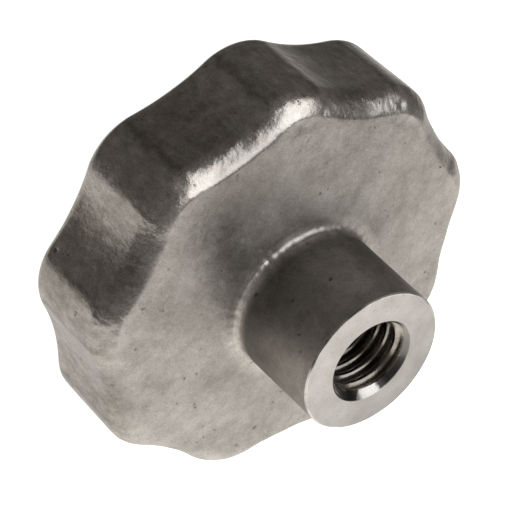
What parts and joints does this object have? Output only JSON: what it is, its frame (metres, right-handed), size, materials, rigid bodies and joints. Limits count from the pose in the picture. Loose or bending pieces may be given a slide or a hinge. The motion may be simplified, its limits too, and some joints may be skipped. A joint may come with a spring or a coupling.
{
  "type": "star knob",
  "caption": "Nine-lobed cast stainless hand knob: a thick scalloped head with a central boss, turned at its end and tapped for a clamping stud.",
  "frame": {"origin": "centre of the flat back of the head, on the thread axis", "axes": "+Z along the thread axis, out of the tapped mouth; +X through the middle of one lobe"},
  "size_m": [0.0587, 0.0594, 0.0324],
  "materials": {
    "cast_stainless": "blasted casting skin on head and boss; turned boss end, countersink and thread"
  },
  "bodies": {
    "root": {"knob_casting": "cast_stainless"}
  },
  "joints": []
}
